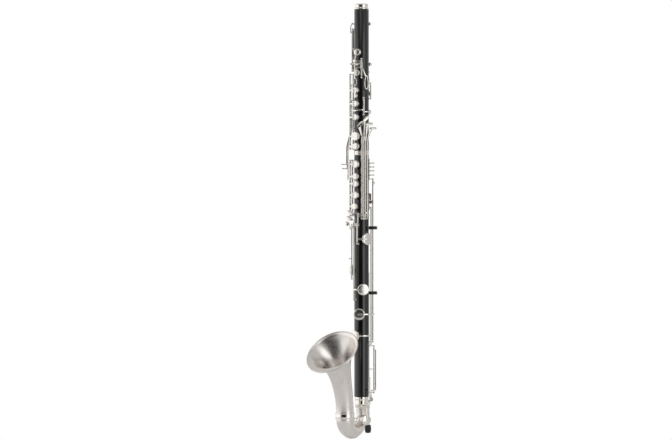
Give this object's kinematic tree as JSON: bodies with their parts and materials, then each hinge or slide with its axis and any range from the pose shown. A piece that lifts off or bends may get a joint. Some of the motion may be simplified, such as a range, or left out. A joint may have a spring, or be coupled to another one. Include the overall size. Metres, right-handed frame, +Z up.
{
  "type": "bass clarinet",
  "caption": "Low-C bass clarinet body: wooden joints with sprung keywork, metal bow and bell, and a sliding floor peg; played with a neck and mouthpiece.",
  "frame": {"origin": "centre of the bore in the plane of the neck receiver's top rim", "axes": "+Z up the bore towards the neck, -Y to the front where the bell opens and the finger plates lie, +X to the player's left"},
  "size_m": [0.144, 0.2296, 1.1281],
  "materials": {
    "grenadilla": "oiled near-black hardwood with fine straight grain and a soft sheen",
    "keywork": "polished silver plate with fine handling marks",
    "ring_metal": "polished plated ring metal, slightly warm",
    "bell_metal": "satin silver plate with a soft warm grey sheen",
    "steel": "ground steel rod with fine length-wise scratches",
    "black_guide": "black moulded guide with a faint gloss",
    "rubber": "matte black rubber with scuffs"
  },
  "bodies": {
    "instrument": {"upper_joint": "grenadilla", "lower_joint": "grenadilla", "neck_receiver": "ring_metal", "middle_ring": "ring_metal", "bell_tenon": "ring_metal", "bow": "bell_metal", "bell_ferrule": "ring_metal", "bell": "bell_metal", "bell_brace": "keywork", "thumb_rest": "keywork", "peg_socket": "keywork", "register_hinge": "keywork", "upper_stack_hinge": "keywork", "sliver_hinge": "keywork", "side_key_hinge": "keywork", "lower_stack_hinge": "keywork", "low_rod_hinge": "keywork", "lh_pinky_hinges": "keywork", "rh_pinky_hinges": "keywork", "rod_bracket_upper": "black_guide", "rod_bracket_lower": "black_guide", "thumb_key_hinges": "keywork", "throat_key_hinges": "keywork", "left_thumb_hinges": "keywork"},
    "upper_register_key": {"upper_register_key": "keywork"},
    "lower_register_key": {"lower_register_key": "keywork"},
    "throat_g_sharp_key": {"throat_g_sharp_key": "keywork"},
    "lh1_plate": {"lh1_plate": "keywork"},
    "lh2_plate": {"lh2_plate": "keywork"},
    "lh3_plate": {"lh3_plate": "keywork"},
    "upper_vent_large": {"upper_vent_large": "keywork"},
    "upper_vent_small": {"upper_vent_small": "keywork"},
    "sliver_key": {"sliver_key": "keywork"},
    "side_key_1": {"side_key_1": "keywork"},
    "side_key_2": {"side_key_2": "keywork"},
    "side_key_3": {"side_key_3": "keywork"},
    "lh_pinky_key_1": {"lh_pinky_key_1": "keywork"},
    "lh_pinky_key_2": {"lh_pinky_key_2": "keywork"},
    "lh_pinky_key_3": {"lh_pinky_key_3": "keywork"},
    "lh_pinky_key_4": {"lh_pinky_key_4": "keywork"},
    "rh1_plate": {"rh1_plate": "keywork"},
    "rh_vent_high": {"rh_vent_high": "keywork"},
    "rh2_plate": {"rh2_plate": "keywork"},
    "rh3_plate": {"rh3_plate": "keywork"},
    "rh_vent_low": {"rh_vent_low": "keywork"},
    "rh_pinky_key_1": {"rh_pinky_key_1": "keywork"},
    "rh_pinky_key_2": {"rh_pinky_key_2": "keywork"},
    "rh_pinky_key_3": {"rh_pinky_key_3": "keywork"},
    "thumb_key_1": {"thumb_key_1": "keywork"},
    "thumb_key_2": {"thumb_key_2": "keywork"},
    "thumb_key_3": {"thumb_key_3": "keywork"},
    "thumb_key_4": {"thumb_key_4": "keywork"},
    "low_c_rod": {"low_c_rod": "keywork"},
    "thumb_plate": {"thumb_plate": "keywork"},
    "throat_a_key": {"throat_a_key": "keywork"},
    "register_touch": {"register_touch": "keywork"},
    "low_c_key": {"low_c_key": "keywork"},
    "floor_peg": {"floor_peg": "steel", "peg_tip": "rubber"},
    "peg_thumbscrew": {"peg_thumbscrew": "steel"}
  },
  "joints": [
    {"name": "upper_register_key_hinge", "type": "hinge", "parent": "instrument", "child": "upper_register_key", "pos_m": [-0.02007, -0.01405, -0.092], "axis": [0, 0, 1], "range_deg": [0, 7], "stiffness_Nm_per_rad": 0.05, "springref_deg": -14.32},
    {"name": "lower_register_key_hinge", "type": "hinge", "parent": "instrument", "child": "lower_register_key", "pos_m": [-0.02007, -0.01405, -0.146], "axis": [0, 0, 1], "range_deg": [0, 6.4], "stiffness_Nm_per_rad": 0.05, "springref_deg": -14.32},
    {"name": "throat_g_sharp_key_hinge", "type": "hinge", "parent": "instrument", "child": "throat_g_sharp_key", "pos_m": [0.01398, -0.02073, -0.168], "axis": [0, 0, 1], "range_deg": [0, 6], "stiffness_Nm_per_rad": 0.05, "springref_deg": -14.32},
    {"name": "lh1_plate_hinge", "type": "hinge", "parent": "instrument", "child": "lh1_plate", "pos_m": [-0.02298, -0.01928, -0.215], "axis": [0, 0, 1], "range_deg": [0, 4], "stiffness_Nm_per_rad": 0.05, "springref_deg": -14.32},
    {"name": "lh2_plate_hinge", "type": "hinge", "parent": "instrument", "child": "lh2_plate", "pos_m": [-0.02298, -0.01928, -0.253], "axis": [0, 0, 1], "range_deg": [0, 4], "stiffness_Nm_per_rad": 0.05, "springref_deg": -14.32},
    {"name": "lh3_plate_hinge", "type": "hinge", "parent": "instrument", "child": "lh3_plate", "pos_m": [-0.02298, -0.01928, -0.295], "axis": [0, 0, 1], "range_deg": [0, 4], "stiffness_Nm_per_rad": 0.05, "springref_deg": -14.32},
    {"name": "upper_vent_large_hinge", "type": "hinge", "parent": "instrument", "child": "upper_vent_large", "pos_m": [-0.02298, -0.01928, -0.341], "axis": [0, 0, 1], "range_deg": [0, 4], "stiffness_Nm_per_rad": 0.05, "springref_deg": -14.32},
    {"name": "upper_vent_small_hinge", "type": "hinge", "parent": "instrument", "child": "upper_vent_small", "pos_m": [-0.02298, -0.01928, -0.364], "axis": [0, 0, 1], "range_deg": [0, 4], "stiffness_Nm_per_rad": 0.05, "springref_deg": -14.32},
    {"name": "sliver_key_hinge", "type": "hinge", "parent": "instrument", "child": "sliver_key", "pos_m": [0.01858, -0.01673, -0.266], "axis": [0, 0, -1], "range_deg": [0, 5], "stiffness_Nm_per_rad": 0.05, "springref_deg": -14.32},
    {"name": "side_key_1_hinge", "type": "hinge", "parent": "instrument", "child": "side_key_1", "pos_m": [-0.02462, 0.00434, -0.216], "axis": [0, 0, 1], "range_deg": [0, 6], "stiffness_Nm_per_rad": 0.05, "springref_deg": -14.32},
    {"name": "side_key_2_hinge", "type": "hinge", "parent": "instrument", "child": "side_key_2", "pos_m": [-0.02462, 0.00434, -0.256], "axis": [0, 0, 1], "range_deg": [0, 6], "stiffness_Nm_per_rad": 0.05, "springref_deg": -14.32},
    {"name": "side_key_3_hinge", "type": "hinge", "parent": "instrument", "child": "side_key_3", "pos_m": [-0.02462, 0.00434, -0.296], "axis": [0, 0, 1], "range_deg": [0, 6], "stiffness_Nm_per_rad": 0.05, "springref_deg": -14.32},
    {"name": "lh_pinky_key_1_hinge", "type": "hinge", "parent": "instrument", "child": "lh_pinky_key_1", "pos_m": [0.01469, -0.02022, -0.453], "axis": [0, 0, -1], "range_deg": [0, 4], "stiffness_Nm_per_rad": 0.05, "springref_deg": -14.32},
    {"name": "lh_pinky_key_2_hinge", "type": "hinge", "parent": "instrument", "child": "lh_pinky_key_2", "pos_m": [0.01798, -0.01737, -0.453], "axis": [0, 0, 1], "range_deg": [0, 4], "stiffness_Nm_per_rad": 0.05, "springref_deg": -14.32},
    {"name": "lh_pinky_key_3_hinge", "type": "hinge", "parent": "instrument", "child": "lh_pinky_key_3", "pos_m": [0.02097, -0.01362, -0.453], "axis": [0, 0, 1], "range_deg": [0, 4], "stiffness_Nm_per_rad": 0.05, "springref_deg": -14.32},
    {"name": "lh_pinky_key_4_hinge", "type": "hinge", "parent": "instrument", "child": "lh_pinky_key_4", "pos_m": [0.02349, -0.00855, -0.453], "axis": [0, 0, 1], "range_deg": [0, 4], "stiffness_Nm_per_rad": 0.05, "springref_deg": -14.32},
    {"name": "rh1_plate_hinge", "type": "hinge", "parent": "instrument", "child": "rh1_plate", "pos_m": [-0.02298, -0.01928, -0.42], "axis": [0, 0, 1], "range_deg": [0, 4], "stiffness_Nm_per_rad": 0.05, "springref_deg": -14.32},
    {"name": "rh_vent_high_hinge", "type": "hinge", "parent": "instrument", "child": "rh_vent_high", "pos_m": [-0.02298, -0.01928, -0.441], "axis": [0, 0, 1], "range_deg": [0, 4], "stiffness_Nm_per_rad": 0.05, "springref_deg": -14.32},
    {"name": "rh2_plate_hinge", "type": "hinge", "parent": "instrument", "child": "rh2_plate", "pos_m": [-0.02298, -0.01928, -0.468], "axis": [0, 0, 1], "range_deg": [0, 4], "stiffness_Nm_per_rad": 0.05, "springref_deg": -14.32},
    {"name": "rh3_plate_hinge", "type": "hinge", "parent": "instrument", "child": "rh3_plate", "pos_m": [-0.02298, -0.01928, -0.49], "axis": [0, 0, 1], "range_deg": [0, 4], "stiffness_Nm_per_rad": 0.05, "springref_deg": -14.32},
    {"name": "rh_vent_low_hinge", "type": "hinge", "parent": "instrument", "child": "rh_vent_low", "pos_m": [-0.02298, -0.01928, -0.527], "axis": [0, 0, 1], "range_deg": [0, 4], "stiffness_Nm_per_rad": 0.05, "springref_deg": -14.32},
    {"name": "rh_pinky_key_1_hinge", "type": "hinge", "parent": "instrument", "child": "rh_pinky_key_1", "pos_m": [0.00422, -0.02667, -0.598], "axis": [0, 0, -1], "range_deg": [0, 5], "stiffness_Nm_per_rad": 0.05, "springref_deg": -14.32},
    {"name": "rh_pinky_key_2_hinge", "type": "hinge", "parent": "instrument", "child": "rh_pinky_key_2", "pos_m": [-0.00653, -0.0262, -0.671], "axis": [0, 0, -1], "range_deg": [0, 5], "stiffness_Nm_per_rad": 0.05, "springref_deg": -14.32},
    {"name": "rh_pinky_key_3_hinge", "type": "hinge", "parent": "instrument", "child": "rh_pinky_key_3", "pos_m": [-0.01662, -0.02128, -0.644], "axis": [0, 0, 1], "range_deg": [0, 5], "stiffness_Nm_per_rad": 0.05, "springref_deg": -14.32},
    {"name": "thumb_key_1_hinge", "type": "hinge", "parent": "instrument", "child": "thumb_key_1", "pos_m": [0.02416, 0.01692, -0.666], "axis": [0, 0, 1], "range_deg": [0, 4], "stiffness_Nm_per_rad": 0.05, "springref_deg": -14.32},
    {"name": "thumb_key_2_hinge", "type": "hinge", "parent": "instrument", "child": "thumb_key_2", "pos_m": [0.02443, 0.00889, -0.707], "axis": [0, 0, 1], "range_deg": [0, 4], "stiffness_Nm_per_rad": 0.05, "springref_deg": -14.32},
    {"name": "thumb_key_3_hinge", "type": "hinge", "parent": "instrument", "child": "thumb_key_3", "pos_m": [0.00773, 0.02378, -0.418], "axis": [0, 0, -1], "range_deg": [0, 6], "stiffness_Nm_per_rad": 0.05, "springref_deg": -14.32},
    {"name": "thumb_key_4_hinge", "type": "hinge", "parent": "instrument", "child": "thumb_key_4", "pos_m": [0.00773, 0.02378, -0.44], "axis": [0, 0, -1], "range_deg": [0, 6], "stiffness_Nm_per_rad": 0.05, "springref_deg": -14.32},
    {"name": "low_c_rod_hinge", "type": "hinge", "parent": "instrument", "child": "low_c_rod", "pos_m": [0.0267, 0.0187, -0.95], "axis": [0, 0, -1], "range_deg": [0, 4], "stiffness_Nm_per_rad": 0.05, "springref_deg": -14.32},
    {"name": "thumb_plate_hinge", "type": "hinge", "parent": "instrument", "child": "thumb_plate", "pos_m": [0.0186, 0.01453, -0.226], "axis": [0, 0, 1], "range_deg": [0, 3], "stiffness_Nm_per_rad": 0.05, "springref_deg": -14.32},
    {"name": "throat_a_key_hinge", "type": "hinge", "parent": "instrument", "child": "throat_a_key", "pos_m": [0.00116, -0.03318, -0.157], "axis": [0.9994, 0.0349, 0], "range_deg": [0, 4], "stiffness_Nm_per_rad": 0.05, "springref_deg": -14.32},
    {"name": "register_touch_hinge", "type": "hinge", "parent": "instrument", "child": "register_touch", "pos_m": [0, 0.0256, -0.176], "axis": [-1, 0, 0], "range_deg": [0, 8], "stiffness_Nm_per_rad": 0.05, "springref_deg": -14.32},
    {"name": "low_c_key_hinge", "type": "hinge", "parent": "instrument", "child": "low_c_key", "pos_m": [0.02311, -0.01078, -1.046], "axis": [-0.4226, -0.9063, 0], "range_deg": [0, 5.2], "stiffness_Nm_per_rad": 0.05, "springref_deg": -14.32},
    {"name": "peg_slide", "type": "slide", "parent": "instrument", "child": "floor_peg", "axis": [0, 0, -1], "range_m": [0, 0.24]},
    {"name": "thumbscrew_turn", "type": "hinge", "parent": "instrument", "child": "peg_thumbscrew", "pos_m": [0, 0.0296, -1.03], "axis": [0, 1, 0], "range_deg": [0, 180]}
  ],
  "couplings": [
    {"joint": "upper_vent_large_hinge", "follows": "lh3_plate_hinge", "ratio": 1},
    {"joint": "upper_vent_small_hinge", "follows": "lh2_plate_hinge", "ratio": 1},
    {"joint": "rh_vent_high_hinge", "follows": "rh1_plate_hinge", "ratio": 1},
    {"joint": "rh_vent_low_hinge", "follows": "rh3_plate_hinge", "ratio": 1},
    {"joint": "lower_register_key_hinge", "follows": "register_touch_hinge", "ratio": 0.8},
    {"joint": "lh_pinky_key_1_hinge", "follows": "rh_pinky_key_1_hinge", "ratio": 0.8},
    {"joint": "lh_pinky_key_2_hinge", "follows": "rh_pinky_key_2_hinge", "ratio": 0.8},
    {"joint": "low_c_key_hinge", "follows": "low_c_rod_hinge", "ratio": 1.3}
  ]
}
